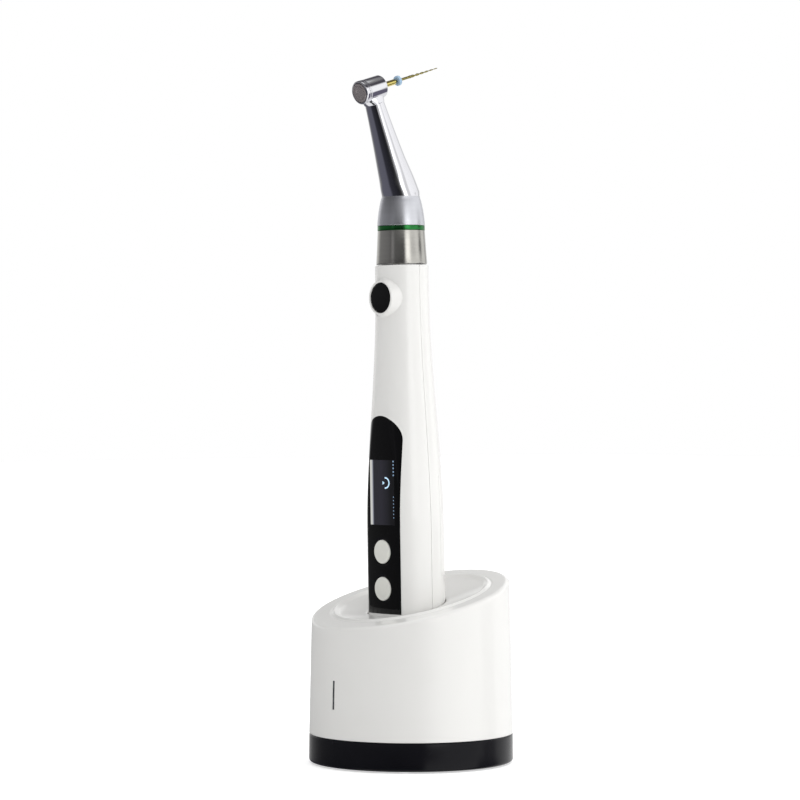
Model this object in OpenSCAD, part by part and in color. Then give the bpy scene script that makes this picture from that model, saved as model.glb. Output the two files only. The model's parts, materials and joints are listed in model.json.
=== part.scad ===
// Cordless endodontic motor, standing upright in its round charging base.
// Millimetres, +Z up, origin at the centre of the base's underside.
// -Y is the display side. +Y is the side that the file points to.

/* [Charging base] */
// Radius of the base at its foot
base_r = 42.5; // [41.5:0.5:45]
// Radius of the white shell where its sloping top would meet the axis height
rim_r = 41.2; // [40.5:0.1:42]
// Height of the sloping top on the axis
top_h = 68.5; // [66:0.5:70]
// Slope of the top, rising towards the back, in degrees
top_slope = 14.5; // [12:0.1:15]
// Height of the black foot ring
ring_h = 12.2; // [11.5:0.1:13]
// Radius of the raised lip on the sloping top
lip_r = 32.5; // [31:0.1:34]
// Depth of the dish inside the lip
dish_depth = 4.2; // [3.5:0.1:4.6]
// Wall of the charger shell
charger_wall = 2.2; // [1.8:0.1:2.6]
// Height of the rubber feet under the foot ring
foot_gap = 0.6; // [0.4:0.1:1]

/* [Handpiece] */
// Height of the seat that the handpiece stands on
seat_z = 40; // [39:0.5:42]
// Distance of the seat's centre in front of the base's axis
seat_y = -1.8; // [-2.5:0.1:0]
// Lean of the handpiece towards the front, in degrees
lean = 1.15; // [0:0.05:1.5]
// Length of the white handle
handle_len = 166.6; // [166:0.1:168]
// Radius of the handle at its foot
handle_foot_r = 16.05; // [15.8:0.05:16.4]
// Radius of the handle at its top
handle_top_r = 11.15; // [11.1:0.05:11.4]
// Wall of the handle shells
wall = 1.8; // [1.6:0.1:1.9]
// Distance from the axis to the crowned front of the handle
crown_front = 13.1; // [13:0.05:13.3]
// Half width of the black display panel
panel_half_w = 10.4; // [10:0.1:11]
// Height of the panel's arched end above the handle's foot
panel_top = 104.4; // [103:0.1:106]

/* [Contra-angle] */
// Height of the bend above the handle's foot
bend_s = 195.1; // [195:0.1:196]
// Bend of the neck towards the front, in degrees
bend_angle = 19.6; // [19:0.1:20]
// Length of the neck from the bend to the head's axis
neck_len = 46.4; // [46:0.1:47]
// Rise of the head's axis towards the file, in degrees
head_rise = 16.4; // [16:0.1:17]
// Radius of the head's barrel
head_r = 4.8; // [4.7:0.05:4.9]
// Distance from the push button's face to the neck's axis
head_cross = 6.45; // [6.4:0.05:6.5]

/* [File] */
// Radius of the latch-grip shank
shank_r = 1.175; // [1.17:0.005:1.18]
// Length of the fluted part of the file
flute_len = 16; // [15:0.5:17]
// Pitch of the file's flutes
flute_pitch = 2.7; // [2:0.1:3.5]

/* [Motor] */
// Module of the planetary gears
gear_module = 0.3; // [0.3:0.005:0.305]

/* [Hidden] */
$fn = 96;
// A cut reaches this far past a face
eps = 0.1;
// Gap between two fixed mating pieces
fit = 0.05;
gloss_white = [0.93, 0.93, 0.92];
gloss_black = [0.05, 0.05, 0.06];
steel = [0.75, 0.76, 0.77];
bright_steel = [0.85, 0.86, 0.87];
board_green = [0.1, 0.35, 0.2];
grey_rubber = [0.2, 0.2, 0.21];

// ---- frames -------------------------------------------------------------

// The handpiece's frame: +Z up the handle from its foot, -Y out of the display
module in_handle() {
    translate([0, seat_y, seat_z])
        rotate([lean, 0, 0])
            children();
}

// The neck's frame: +Z up the neck from the bend
module in_neck() {
    in_handle()
        translate([0, 0, bend_s])
            rotate([bend_angle, 0, 0])
                children();
}

// The head's frame: +Z from the push button's face to the file's tip
module in_head() {
    in_handle()
        translate([0, -neck_len * sin(bend_angle), bend_s + neck_len * cos(bend_angle)])
            rotate([head_rise - 90, 0, 0])
                translate([0, 0, -head_cross])
                    children();
}

// The frame of the charger's sloping top, +Z out of it
module in_top() {
    translate([0, 0, top_h])
        rotate([top_slope, 0, 0])
            children();
}

// ---- general shapes -------------------------------------------------------

// Cylinder between two heights
module rod(r, z0, z1) {
    translate([0, 0, z0])
        cylinder(r = r, h = z1 - z0);
}

// Plain ring between two heights
module ring(r_out, r_in, z0, z1) {
    difference() {
        rod(r_out, z0, z1);
        rod(r_in, z0 - eps, z1 + eps);
    }
}

// Box given by its half width across X and its Y and Z limits
module slab(half_x, y0, y1, z0, z1) {
    translate([-half_x, y0, z0])
        cube([2 * half_x, y1 - y0, z1 - z0]);
}

// Cylinder along Y between two Y values, centred on x and z
module y_rod(r, y0, y1, x = 0, z = 0) {
    translate([x, y1, z])
        rotate([90, 0, 0])
            cylinder(r = r, h = y1 - y0);
}

// ---- charger shapes ---------------------------------------------------------

foot_ring_gap = 0.15;
shell_z = ring_h + foot_ring_gap;
boss_place_r = 36;
post_x = 15;
post_y = 20;
post_r = 2;
board_z = 15;
board_t = 1.6;
tray_floor_top = 3.1;
slit_w = 1.2;
slit_z0 = 24.4;
slit_z1 = 36.2;
foot_place_r = 33;
foot_r = 4.5;
foot_pocket = 1.5;
screw_pocket = 1.8;
top_wall = 2.6;
under_top = -dish_depth - top_wall;
// Radius of the sphere that hollows the dish
dish_sphere_r = (lip_r * lip_r + dish_depth * dish_depth) / (2 * dish_depth);
highest = top_h + base_r * tan(top_slope);

function shell_r(z) = base_r - 0.1 - (base_r - 0.1 - rim_r) * (z - ring_h) / (top_h - ring_h);

// The charger's outer form down to a given height, taken in by inset
module charger_form(inset, z0) {
    rotate_extrude()
        polygon([
            [0, z0],
            [shell_r(z0) - inset, z0],
            [shell_r(highest) - inset, highest],
            [0, highest]
        ]);
}

// Everything above a plane parallel to the sloping top
module above_top(offset_z) {
    in_top()
        translate([0, 0, offset_z + 75])
            cube([140, 140, 150], center = true);
}

// Places its children at the four case screws
module at_case_screws() {
    for (a = [45 : 90 : 315])
        rotate([0, 0, a])
            translate([boss_place_r, 0, 0])
                children();
}

// Places its children at the four board posts
module at_board_posts() {
    for (sx = [-1, 1], sy = [-1, 1])
        translate([sx * post_x, sy * post_y, 0])
            children();
}

module charger_shell() {
    bevel_h = 1.6;
    lip_proud = 0.7;
    lip_bead = 1.2;
    boss_r = 3;
    boss_bottom = 3.2;
    boss_top = 24;
    jack_w = 9.6;
    jack_h = 3.9;
    color(gloss_white)
        difference() {
            union() {
                difference() {
                    charger_form(0, shell_z);
                    above_top(0);
                    in_top()
                        translate([0, 0, dish_sphere_r - dish_depth])
                            sphere(r = dish_sphere_r, $fn = 180);
                    difference() {
                        charger_form(charger_wall, shell_z - eps);
                        above_top(under_top);
                    }
                }
                in_top()
                    rotate_extrude()
                        translate([lip_r, lip_proud - lip_bead])
                            circle(r = lip_bead, $fn = 48);
                at_case_screws() {
                    rod(boss_r, boss_bottom, boss_top);
                    translate([0, -1, shell_z + 1])
                        cube([boss_place_r * 0.12, 2, boss_top - shell_z - 1]);
                }
            }
            in_handle()
                handle_form(-0.45);
            in_top()
                rotate_extrude()
                    polygon([
                        [rim_r + 0.5, -bevel_h],
                        [rim_r + 5, -bevel_h],
                        [rim_r + 5, eps],
                        [rim_r - 1.2, eps]
                    ]);
            at_case_screws()
                rod(1.25, boss_bottom - eps, 15);
            translate([-slit_w / 2, -base_r - 1, slit_z0])
                cube([slit_w, 6, slit_z1 - slit_z0]);
            translate([-jack_w / 2, base_r - 6, board_z + board_t - 0.35])
                cube([jack_w, 8, jack_h]);
        }
}
module charger_tray() {
    tray_wall = 2.4;
    chamfer = 1.3;
    color(gloss_black)
        difference() {
            union() {
                difference() {
                    rotate_extrude()
                        polygon([
                            [0, foot_gap],
                            [base_r - chamfer, foot_gap],
                            [base_r, foot_gap + chamfer],
                            [base_r - 0.1, ring_h],
                            [0, ring_h]
                        ]);
                    rod(base_r - tray_wall, tray_floor_top, ring_h + eps);
                }
                at_board_posts()
                    rod(post_r, tray_floor_top - eps, board_z);
            }
            at_board_posts()
                rod(0.95, board_z - 6, board_z + eps);
            at_case_screws() {
                rod(1.4, 0, tray_floor_top + eps);
                rod(2.7, 0, screw_pocket);
            }
            at_feet()
                rod(foot_r + 0.1, 0, foot_pocket);
        }
}

// Places its children at the four rubber feet
module at_feet() {
    for (a = [0 : 90 : 270])
        rotate([0, 0, a])
            translate([foot_place_r, 0, 0])
                children();
}

module tray_screws() {
    color(steel)
        at_case_screws() {
            rod(2.4, 0.75, screw_pocket - fit);
            rod(1.2, screw_pocket - fit, 14);
        }
}

module rubber_feet() {
    color(grey_rubber)
        at_feet()
            rod(foot_r, 0, foot_pocket - fit);
}

module ballast_plate() {
    color(steel)
        difference() {
            ring(32, 8, tray_floor_top + fit, 9.2);
            at_board_posts()
                rod(post_r + 0.5, 0, 12);
        }
}

module charger_board() {
    board_half_w = 22;
    board_edge_r = 38.5;
    z1 = board_z + board_t;
    color(board_green)
        difference() {
            union() {
                intersection() {
                    slab(board_half_w, -32, base_r, board_z, z1);
                    rod(board_edge_r, board_z, z1);
                }
                slab(5, -24, -14, z1 - eps, z1 + 3);
                for (x = [-9, 9])
                    translate([x, 24, 0])
                        rod(3, z1 - eps, z1 + 7);
            }
            at_board_posts()
                rod(1.0, board_z - eps, z1 + eps);
        }
}

module charger_board_screws() {
    z1 = board_z + board_t;
    color(steel)
        at_board_posts() {
            rod(1.8, z1, z1 + 1);
            rod(0.9, z1 - 6, z1 + eps);
        }
}

module power_socket() {
    body_half_w = 4.45;
    z0 = board_z + board_t;
    color(steel)
        difference() {
            slab(body_half_w, 34, 41.3, z0, z0 + 3.2);
            slab(body_half_w - 0.4, 35, 42, z0 + 0.4, z0 + 2.8);
        }
}

cup_gap = 0.4;
cup_wall = 1.6;
pin_r = 0.9;
pad_x = 5;
pad_y = 5;
pad_r = 2;

// Places its children at the two charging contacts, in the handpiece's frame
module at_contacts() {
    for (sx = [-1, 1])
        translate([sx * pad_x, pad_y, 0])
            children();
}

module socket_cup() {
    floor_s = -2.5;
    flange_t = 1.5;
    color(gloss_black)
        difference() {
            union() {
                in_handle()
                    handle_form(-cup_gap - cup_wall, floor_s);
                in_top()
                    rod(24, under_top - fit - flange_t, under_top - fit);
            }
            above_top(under_top - fit);
            in_handle()
                handle_form(-cup_gap, -0.02);
            in_handle()
                at_contacts()
                    rod(pin_r + 0.1, floor_s - eps, 0.5);
        }
}

module contact_pin_block() {
    color(gloss_black)
        in_handle()
            difference() {
                slab(10, 0, 10, -9, -2.55);
                at_contacts()
                    rod(pin_r + 0.1, -8.7, -2);
            }
}

module charge_contact_pins() {
    color("gold")
        in_handle()
            at_contacts()
                rod(pin_r, -8, -0.05);
}

module indicator_light_pipe() {
    slit_gap = 0.05;
    plate_front = base_r - 3.2;
    color([0.35, 0.36, 0.38])
        union() {
            intersection() {
                slab(slit_w / 2 - slit_gap, -base_r, -plate_front + 0.2, slit_z0 + slit_gap, slit_z1 - slit_gap);
                charger_form(0.1, slit_z0);
            }
            slab(3, -plate_front, -plate_front + 3, slit_z0 - 2, slit_z1 + 2);
        }
}

// ---- handle shapes ----------------------------------------------------------

taper_start = 54;
taper_end = 156;
crown_r = 54;
seam_gap = 0.04;
panel_bottom = 22.5;
panel_recess = 1.2;
key_r = 4.9;
select_s = 48.2;
set_s = 32.9;
start_s = 153.1;
boss_front = -12.2;
door_plane = 6.1;
board_front = -9.3;
board_back = -8.3;
screw_s = [19, 97.5];

function ease(t) = t < 0 ? 0 : t > 1 ? 1 : t * t * (3 - 2 * t);
function handle_r(s) =
    handle_foot_r - (handle_foot_r - handle_top_r) * ease((s - taper_start) / (taper_end - taper_start));

// Solid form of the handle taken in by inset, from a given lower end
module handle_form(inset, s0 = undef) {
    bottom = is_undef(s0) ? inset : s0;
    top = handle_len - inset;
    edge = 1.2;
    steps = 17;
    step = (taper_end - taper_start) / steps;
    intersection() {
        rotate_extrude()
            polygon(concat(
                [[0, bottom], [handle_foot_r - inset - edge, bottom],
                 [handle_foot_r - inset, bottom + edge]],
                [for (i = [0 : steps])
                    [handle_r(taper_start + i * step) - inset, taper_start + i * step]],
                [[handle_top_r - inset, top - 0.5], [handle_top_r - inset - 0.5, top], [0, top]]
            ));
        translate([0, crown_r - crown_front, 0])
            rod(crown_r - inset, bottom - 1, top + 1);
    }
}

// The panel's arched outline as a prism out of the front
module panel_prism(grow) {
    half_w = panel_half_w + grow;
    rotate([90, 0, 0])
        linear_extrude(height = 30)
            union() {
                translate([-half_w, panel_bottom - grow])
                    square([2 * half_w, panel_top - panel_half_w - panel_bottom + grow]);
                translate([0, panel_top - panel_half_w])
                    circle(r = half_w);
            }
}

// The battery door's outline as a prism out of the back
module door_prism(grow) {
    half_w = 15.2 + grow;
    bottom = 38 - grow;
    arch_s = 73;
    translate([0, door_plane - grow, 0])
        rotate([90, 0, 180])
            linear_extrude(height = 20)
                union() {
                    translate([-half_w, bottom])
                        square([2 * half_w, arch_s - bottom]);
                    translate([0, arch_s])
                        circle(r = half_w);
                }
}

// Both halves of the hollow handle as one piece
module hollow_handle() {
    difference() {
        handle_form(0);
        handle_form(wall);
        rod(8.35, handle_len - wall - 1, handle_len + eps);
    }
}

module front_shell() {
    boss_r = 7.8;
    boss_back = -8.4;
    cap_bore_r = 6.3;
    pocket_r = 7.1;
    screw_boss_r = 2.2;
    color(gloss_white)
        in_handle()
            difference() {
                union() {
                    intersection() {
                        hollow_handle();
                        slab(20, -20, -seam_gap, -1, handle_len + 1);
                    }
                    y_rod(boss_r, boss_front, boss_back, z = start_s);
                    for (s = screw_s)
                        y_rod(screw_boss_r, -11.6, board_front, z = s);
                }
                difference() {
                    panel_prism(0);
                    handle_form(panel_recess);
                }
                y_rod(cap_bore_r, boss_front - eps, -9, z = start_s);
                y_rod(pocket_r, -10.4, -6, z = start_s);
                slab(8.2, -14, -9.9, 56.5, 88.5);
                for (s = [select_s, set_s])
                    y_rod(5.9, -14, -9.5, z = s);
                for (s = screw_s)
                    y_rod(0.9, -11.1, board_front + eps, z = s);
            }
}

module rear_shell() {
    color(gloss_white)
        in_handle()
            difference() {
                intersection() {
                    hollow_handle();
                    slab(20, seam_gap, 20, -1, handle_len + 1);
                }
                door_prism(0.08);
                at_contacts()
                    rod(pad_r + 0.02, -eps, 3);
            }
}

module battery_cover() {
    color(gloss_white)
        in_handle()
            intersection() {
                hollow_handle();
                door_prism(0);
            }
}

module display_panel() {
    color(gloss_black)
        in_handle()
            difference() {
                intersection() {
                    handle_form(0);
                    panel_prism(-fit);
                }
                handle_form(panel_recess - fit);
                for (s = [select_s, set_s])
                    y_rod(key_r + 0.15, -20, -5, z = s);
            }
}

module display_module() {
    color([0.2, 0.22, 0.24])
        in_handle()
            slab(7.9, -10.9, board_front - 0.2, 57, 87);
}

module main_board() {
    color(board_green)
        in_handle()
            difference() {
                union() {
                    slab(7.4, board_front, board_back, 16.5, 100);
                    slab(3.5, board_back - eps, board_back + 1.1, 60, 67);
                    slab(2.5, board_back - eps, board_back + 1.1, 78, 82);
                    slab(4, board_back - eps, board_back + 1.1, 24, 30);
                }
                for (s = screw_s)
                    y_rod(1.0, board_front - eps, board_back + eps, z = s);
            }
}

module board_screws() {
    color(steel)
        in_handle()
            for (s = screw_s) {
                y_rod(1.6, board_back, board_back + 1, z = s);
                y_rod(0.88, -11, board_back + eps, z = s);
            }
}

module key_switches() {
    color(gloss_black)
        in_handle()
            for (s = [select_s, set_s]) {
                slab(3, board_front - 0.6, board_front, s - 3, s + 3);
                y_rod(1, board_front - 0.9, board_front - 0.5, z = s);
            }
}

// One round key, with its retaining flange and stem
module round_key(s) {
    color([0.78, 0.79, 0.75])
        in_handle() {
            y_rod(key_r, -13.5, -11.4, z = s);
            y_rod(5.7, -11.45, -10.9, z = s);
            y_rod(1.2, -11, -10.7, z = s);
        }
}

module select_key() {
    round_key(select_s);
}

module set_key() {
    round_key(set_s);
}

module start_button() {
    color(gloss_black)
        in_handle() {
            y_rod(6.2, -12, -10.2, z = start_s);
            y_rod(7.0, -10.3, -9.8, z = start_s);
            y_rod(1.5, -9.9, -9.5, z = start_s);
        }
}

module start_switch() {
    half = 4.6;
    color(board_green)
        in_handle() {
            slab(half, -8.3, -7.7, start_s - half, start_s + half);
            y_rod(2.5, -8.9, -8.25, z = start_s);
            slab(3, -8.3, -6.9, 146.02, 149);
        }
}

cell_y = 3.4;

module battery_cell() {
    color([0.15, 0.35, 0.6])
        in_handle()
            translate([0, cell_y, 0]) {
                rod(9.2, 30, 79.2);
                rod(2.8, 79.1, 80);
            }
}

module battery_contacts() {
    color(steel)
        in_handle() {
            slab(6, -2, 9, 27.2, 28.2);
            translate([0, cell_y, 0])
                ring(3.5, 2.5, 28.1, 29.95);
            slab(6, -2, 9, 80.05, 80.9);
        }
}

module charge_pads() {
    color("gold")
        in_handle()
            at_contacts()
                rod(pad_r, 0, 2.2);
}

// ---- motor and planetary gearbox ----------------------------------------------

motor_r = 7.8;
motor_s0 = 108;
motor_s1 = 134;
gears_s0 = 136;
gears_s1 = 139.5;
sun_teeth = 12;
ring_teeth = 36;
orbit_r = gear_module * (sun_teeth + sun_teeth) / 2;
pressure_angle = 25;

// Gear outline: teeth with straight flanks, by their width at the pitch circle
module gear_outline(teeth, pitch_r, tooth_w, addendum, dedendum) {
    tip_half = (tooth_w / 2 - addendum * tan(pressure_angle)) / (pitch_r + addendum) * 180 / PI;
    root_half = (tooth_w / 2 + dedendum * tan(pressure_angle)) / (pitch_r - dedendum) * 180 / PI;
    polygon([
        for (i = [0 : teeth - 1], corner = [0 : 3])
            let (
                inner = corner == 0 || corner == 3,
                side = corner < 2 ? -1 : 1,
                r = inner ? pitch_r - dedendum : pitch_r + addendum,
                a = i * 360 / teeth + side * (inner ? root_half : tip_half)
            )
            [r * cos(a), r * sin(a)]
    ]);
}

tooth_w = 0.36;
addendum = 0.2;
dedendum = 0.3;

// A 12-tooth sun or planet gear between the gearbox's faces
module small_gear() {
    translate([0, 0, gears_s0])
        linear_extrude(height = gears_s1 - gears_s0)
            gear_outline(sun_teeth, gear_module * sun_teeth / 2, tooth_w, addendum, dedendum);
}

module motor_case() {
    end_wall = 1.5;
    color(steel)
        in_handle()
            difference() {
                rod(motor_r, motor_s0, motor_s1);
                rod(6.6, motor_s0 + end_wall, motor_s1 - end_wall);
                rod(2.5, motor_s0 - eps, motor_s1 + eps);
            }
}

module motor_bearings() {
    color(bright_steel)
        in_handle() {
            ring(2.48, 1.03, motor_s0, motor_s0 + 1.5);
            ring(2.48, 1.03, motor_s1 - 1.5, motor_s1);
        }
}

module motor_rotor() {
    color([0.3, 0.3, 0.33])
        in_handle() {
            rod(1, 106, gears_s0 + 0.5);
            rod(5.5, 111, 131);
            small_gear();
        }
}

module motor_damper_rings() {
    color(grey_rubber)
        in_handle() {
            ring(10.9, motor_r + fit, 112, 116);
            ring(10.0, motor_r + fit, 126, 130);
        }
}

module gear_case() {
    bearing_seat_r = 4.02;
    front_wall_s = 143.9;
    color(steel)
        in_handle()
            difference() {
                rod(motor_r, motor_s1, 146);
                translate([0, 0, motor_s1 - eps])
                    linear_extrude(height = gears_s1 + 0.5 - motor_s1)
                        rotate(180 / ring_teeth)
                            gear_outline(ring_teeth, gear_module * ring_teeth / 2,
                                PI * gear_module - tooth_w, dedendum, addendum);
                rod(5.9, gears_s1 + 0.3, front_wall_s);
                rod(bearing_seat_r, front_wall_s - eps, 146 + eps);
            }
}

// One planet gear at its place round the sun
module planet_gear(place) {
    color("goldenrod")
        in_handle()
            rotate(place)
                translate([orbit_r, 0, 0])
                    rotate(180 / sun_teeth)
                        difference() {
                            small_gear();
                            rod(0.64, gears_s0 - eps, gears_s1 + eps);
                        }
}

module planet_gear_a() {
    planet_gear(0);
}

module planet_gear_b() {
    planet_gear(120);
}

module planet_gear_c() {
    planet_gear(240);
}

module planet_carrier() {
    color(bright_steel)
        in_handle() {
            rod(5.2, gears_s1 + 0.5, 141.5);
            rod(1.5, 141.4, 152.8);
            for (a = [0, 120, 240])
                rotate(a)
                    translate([orbit_r, 0, 0])
                        rod(0.6, gears_s0 - 0.2, gears_s1 + 0.6);
        }
}

module output_bearing() {
    color(bright_steel)
        in_handle()
            ring(4, 1.53, 144, 146);
}

// Twelve-tooth spline outline, opened by a clearance for the socket
module spline_outline(clearance) {
    gear_outline(12, 2.6, 0.6 + 2 * clearance, 0.25 + clearance, 0.3 - clearance);
}

module drive_coupling() {
    color(steel)
        in_handle()
            difference() {
                rod(3.8, 149, 158.5);
                rod(1.52, 149 - eps, 153);
                translate([0, 0, 153.5])
                    linear_extrude(height = 6)
                        spline_outline(0.08);
            }
}

module motor_nose() {
    flange_s0 = 162;
    flange_s1 = 164.2;
    tube_r = 8.2;
    tube_top = 178;
    ring_s = 173;
    color(steel)
        in_handle() {
            difference() {
                union() {
                    rod(9.25, flange_s0, flange_s1);
                    rod(tube_r, flange_s1 - eps, tube_top);
                }
                rod(6.2, flange_s0 - eps, tube_top + eps);
                ring(tube_r + 1, 6.9, ring_s - 0.75, ring_s + 0.75);
            }
            for (a = [90, 210, 330])
                rotate(a)
                    translate([6.85, 0, 0])
                        rod(0.65, 146.02, flange_s0 + 0.5);
        }
}

module nose_o_ring() {
    color(grey_rubber)
        in_handle()
            translate([0, 0, 173])
                rotate_extrude()
                    translate([7.62, 0])
                        circle(r = 0.6, $fn = 32);
}

// ---- contra-angle shapes ----------------------------------------------------------

sleeve_s0 = 166.9;
sleeve_s1 = 181;
sleeve_bore_r = 8.3;
band_top = 182.9;
bend_r = 7.9;
// The neck's outline: [distance from the bend, radius]
neck_stations = [
    [-4, 8.5], [0, 8.1], [5, 7.45], [10, 6.85], [15.6, 6.2], [21, 5.65], [27.5, 5.05], [34, 4.5], [40.5, 4.05]
];
neck_bore_r = 2.6;
stub_s = 40.5;

module steel_sleeve() {
    color(steel)
        in_handle()
            difference() {
                rotate_extrude()
                    polygon([[0, sleeve_s0], [10.3, sleeve_s0], [10.6, sleeve_s0 + 0.3],
                             [10.35, 171], [10.0, 176.5], [9.8, sleeve_s1], [0, sleeve_s1]]);
                rod(sleeve_bore_r, sleeve_s0 - eps, sleeve_s1 + eps);
            }
}

module green_band() {
    color([0.2, 0.65, 0.3])
        in_handle()
            ring(9.85, sleeve_bore_r, sleeve_s1, band_top);
}

module bearing_carrier() {
    color(steel)
        in_handle()
            difference() {
                union() {
                    rod(6, 163, 179);
                    rod(8.2, 178.4, 179.4);
                }
                rod(4.2, 163 - eps, 179.4 + eps);
            }
}

module drive_bearings() {
    color(bright_steel)
        in_handle() {
            ring(4.18, 1.63, 164.5, 167.5);
            ring(4.98, 1.63, 184, 187);
        }
}

// Toothed face of a bevel or crown gear. Its cone's apex is at the origin, and the
// gear lies below it. cone is the pitch cone's half angle.
module crown_gear(teeth, r_in, r_out, cone, tooth_w, raise, sink, base, phase) {
    nx = cos(cone);
    nz = sin(cone);
    slant_in = r_in / sin(cone);
    slant_out = r_out / sin(cone);
    face_in = r_in / tan(cone) + sink * nz;
    face_out = r_out / tan(cone) + sink * nz;
    union() {
        rotate_extrude()
            polygon([[0, -base], [r_out - sink * nx, -base], [r_out - sink * nx, -face_out],
                     [r_in - sink * nx, -face_in], [0, -face_in]]);
        for (i = [0 : teeth - 1])
            rotate([0, 0, i * 360 / teeth + phase])
                rotate([0, 90 - cone, 0])
                    translate([slant_in, -tooth_w / 2, -sink - 0.15])
                        cube([slant_out - slant_in, tooth_w, sink + 0.15 + raise]);
    }
}

bend_teeth = 16;
head_teeth = 12;
bend_cone = 90 - bend_angle / 2;
head_cone = (90 + head_rise - bend_angle) / 2;

// One of the two equal crown gears at the bend
module bend_gear(phase) {
    crown_gear(bend_teeth, 3, 4.4, bend_cone, 0.42, 0.25, 0.3, 1.9, phase);
}

// One of the two equal bevel gears in the head
module head_gear(phase) {
    crown_gear(head_teeth, 1.75, 2.25, head_cone, 0.3, 0.13, 0.2, 2.95, phase);
}

module drive_shaft() {
    color(bright_steel)
        in_handle() {
            translate([0, 0, 154])
                linear_extrude(height = 4.3)
                    spline_outline(0);
            rod(1.6, 158.2, bend_s - 1.8);
            translate([0, 0, bend_s])
                bend_gear(0);
        }
}

module neck_housing() {
    color(bright_steel)
        difference() {
            union() {
                in_handle()
                    rotate_extrude()
                        polygon([[0, 179.5], [8.25, 179.5], [8.25, band_top], [9.9, band_top],
                                 [9.75, 185], [9.35, 188], [8.8, 191], [bend_r, bend_s],
                                 [0, bend_s]]);
                intersection() {
                    in_neck()
                        rotate_extrude()
                            polygon(concat([[0, neck_stations[0][0]]],
                                [for (p = neck_stations) [p[1], p[0]]],
                                [[0, stub_s]]));
                    in_handle()
                        slab(20, -40, 20, bend_s, bend_s + 60);
                }
            }
            in_handle() {
                rod(6.5, 179.4, 183.95);
                rod(5, 183.9, 187.1);
                rod(5.1, 187, 197);
            }
            in_neck() {
                rod(4.9, -1, 3.2);
                rod(neck_bore_r, 3, stub_s + eps);
            }
        }
}

module neck_shaft() {
    shaft_r = 1.1;
    color(steel)
        in_neck() {
            rotate([180, 0, 0])
                bend_gear(180 / bend_teeth);
            rod(shaft_r, 1.5, neck_len - 2.8);
            translate([0, 0, neck_len])
                head_gear(0);
        }
}

module neck_bushes() {
    color("goldenrod")
        in_neck() {
            ring(neck_bore_r - 0.02, 1.13, 6, 10);
            ring(neck_bore_r - 0.02, 1.13, 32, 36);
        }
}

barrel_w0 = 2.9;
barrel_w1 = 11.9;
nose_w = 12.9;
spindle_r = 1.6;
bearing_r = 3.4;

module head_housing() {
    nose_r = 3.6;
    cavity_r = 3.9;
    cavity_w = 9.6;
    color(bright_steel)
        difference() {
            union() {
                in_head()
                    rotate_extrude()
                        polygon([[0, barrel_w0], [head_r, barrel_w0], [head_r, barrel_w1],
                                 [nose_r, nose_w], [0, nose_w]]);
                intersection() {
                    in_neck()
                        rod(3.95, stub_s, neck_len);
                    in_head()
                        slab(8, -1, 12, barrel_w0 + fit, barrel_w1);
                }
            }
            in_head() {
                rod(cavity_r, barrel_w0 - eps, cavity_w);
                rod(bearing_r, cavity_w - eps, 11.6);
                rod(spindle_r + 0.15, 11.5, nose_w + eps);
            }
            in_neck()
                rod(neck_bore_r, stub_s - eps, neck_len);
        }
}

module head_cap_ring() {
    color(steel)
        in_head()
            difference() {
                rod(4.9, 0.35, barrel_w0);
                rod(4.15, 0, 1.2);
                rod(4.5, 1.15, barrel_w0 + eps);
            }
}

module push_button() {
    color([0.25, 0.26, 0.28])
        in_head() {
            rod(4.08, 0, 1.25);
            rod(4.42, 1.2, 1.6);
        }
}

module button_spring() {
    color(steel)
        in_head()
            ring(3.8, 3.1, 2.35, 2.95);
}

module spindle() {
    color(steel)
        in_head()
            difference() {
                union() {
                    rod(spindle_r, 3, 12.7);
                    translate([0, 0, head_cross])
                        rotate([180, 0, 0])
                            head_gear(180 / head_teeth);
                }
                rod(shank_r + 0.015, 2.5, 13);
            }
}

module spindle_bearings() {
    color(bright_steel)
        in_head() {
            ring(3.88, spindle_r + 0.02, 3, 3.95);
            ring(bearing_r - 0.02, spindle_r + 0.02, 9.75, 11.5);
        }
}

module chuck_latch() {
    color(steel)
        in_head()
            ring(1.55, 1.0, 2.35, 2.98);
}

shank_w0 = 4;
shank_w1 = 20.1;
blade_shaft_len = 9;
blade_r = 0.55;
stop_w0 = 21.2;
stop_t = 1.6;

module file_shank() {
    color("gold")
        in_head()
            difference() {
                rod(shank_r, shank_w0, shank_w1);
                translate([0.75, -2, shank_w0 - 1])
                    cube([2, 4, 3.5]);
            }
}

module file_blade() {
    flute_w0 = shank_w1 + blade_shaft_len;
    color([0.45, 0.45, 0.3])
        in_head() {
            rod(blade_r, shank_w1, flute_w0 + 0.05);
            translate([0, 0, flute_w0])
                linear_extrude(height = flute_len, twist = 360 * flute_len / flute_pitch,
                    scale = 0.28, slices = 90, $fn = 4)
                    circle(r = 0.52, $fn = 4);
        }
}

module rubber_stop() {
    color([0.55, 0.78, 0.9])
        in_head()
            ring(2.1, blade_r + fit, stop_w0, stop_w0 + stop_t);
}

// ---- the nodes --------------------------------------------------------------------

charger_shell();
charger_tray();
tray_screws();
rubber_feet();
ballast_plate();
charger_board();
charger_board_screws();
power_socket();
socket_cup();
contact_pin_block();
charge_contact_pins();
indicator_light_pipe();
front_shell();
rear_shell();
battery_cover();
display_panel();
display_module();
main_board();
board_screws();
key_switches();
select_key();
set_key();
start_button();
start_switch();
battery_cell();
battery_contacts();
charge_pads();
motor_case();
motor_bearings();
motor_rotor();
motor_damper_rings();
gear_case();
planet_gear_a();
planet_gear_b();
planet_gear_c();
planet_carrier();
output_bearing();
drive_coupling();
motor_nose();
nose_o_ring();
steel_sleeve();
green_band();
bearing_carrier();
drive_bearings();
drive_shaft();
neck_housing();
neck_shaft();
neck_bushes();
head_housing();
head_cap_ring();
push_button();
button_spring();
spindle();
spindle_bearings();
chuck_latch();
file_shank();
file_blade();
rubber_stop();
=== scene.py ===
import json
import math

import bmesh
import bpy
from mathutils import Matrix, Vector


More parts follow.
